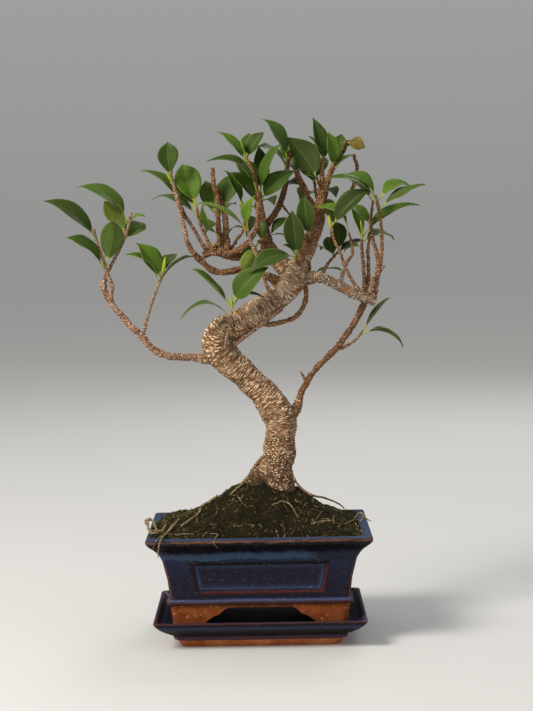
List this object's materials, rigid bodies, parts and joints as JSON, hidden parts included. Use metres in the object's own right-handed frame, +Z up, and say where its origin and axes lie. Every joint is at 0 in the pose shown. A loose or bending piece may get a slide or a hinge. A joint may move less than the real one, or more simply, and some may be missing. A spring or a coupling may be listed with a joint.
{
  "type": "bonsai tree in a pot",
  "caption": "Small fig bonsai with a twisted trunk and leafy shoots in a glazed rectangular footed pot on a matching saucer.",
  "frame": {"origin": "middle of the saucer's flat underside, on the surface that it stands on", "axes": "+Z up, +X to the right of the pictured front, +Y towards the back"},
  "size_m": [0.3372, 0.1531, 0.4721],
  "materials": {
    "saucer_glaze": "dark indigo glaze over a bare clay foot",
    "pot_glaze": "dark indigo glaze that breaks brown on the edges, bare clay feet",
    "drainage_mesh": "stiff plastic mesh",
    "soil": "damp granular soil",
    "moss": "fine moss with loose grains",
    "bark": "grey-tan bark with pale dashes and rust patches",
    "twig_bark": "reddish grey bark with pale dots",
    "root": "pale fibrous root",
    "leaves": "glossy living leaves, paler underneath"
  },
  "bodies": {
    "root": {"aerial_root": "root", "branch_left_arc": "twig_bark", "branch_left_long": "twig_bark", "branch_left_mid": "twig_bark", "branch_right_low": "twig_bark", "drainage_screen_left": "drainage_mesh", "drainage_screen_right": "drainage_mesh", "limb_right": "twig_bark", "limb_upper_left": "twig_bark", "limb_upper_right": "twig_bark", "moss": "moss", "pot": "pot_glaze", "root_corner": "root", "root_left": "root", "root_right": "root", "saucer": "saucer_glaze", "shoot_centre": "leaves", "shoot_centre_left": "leaves", "shoot_centre_low": "leaves", "shoot_centre_right": "leaves", "shoot_crown_left": "leaves", "shoot_crown_right": "leaves", "shoot_far_left_high": "leaves", "shoot_far_left_low": "leaves", "shoot_front_centre": "leaves", "shoot_front_left": "leaves", "shoot_left_crown": "leaves", "shoot_left_inner": "leaves", "shoot_left_lower": "leaves", "shoot_left_tall": "leaves", "shoot_mid_stub_left": "leaves", "shoot_mid_stub_right": "leaves", "shoot_mid_thin": "leaves", "shoot_rear_left": "leaves", "shoot_rear_mid": "leaves", "shoot_rear_right": "leaves", "shoot_right_fourth": "leaves", "shoot_right_inner": "leaves", "shoot_right_low": "leaves", "shoot_right_outer": "leaves", "shoot_right_rear": "leaves", "shoot_right_second": "leaves", "shoot_right_third": "leaves", "shoot_right_under": "leaves", "shoot_trunk_top": "leaves", "shoot_upper_fork": "leaves", "shoot_upper_right_low": "leaves", "shoot_upper_right_spur": "leaves", "soil": "soil", "trunk": "bark"}
  },
  "joints": []
}
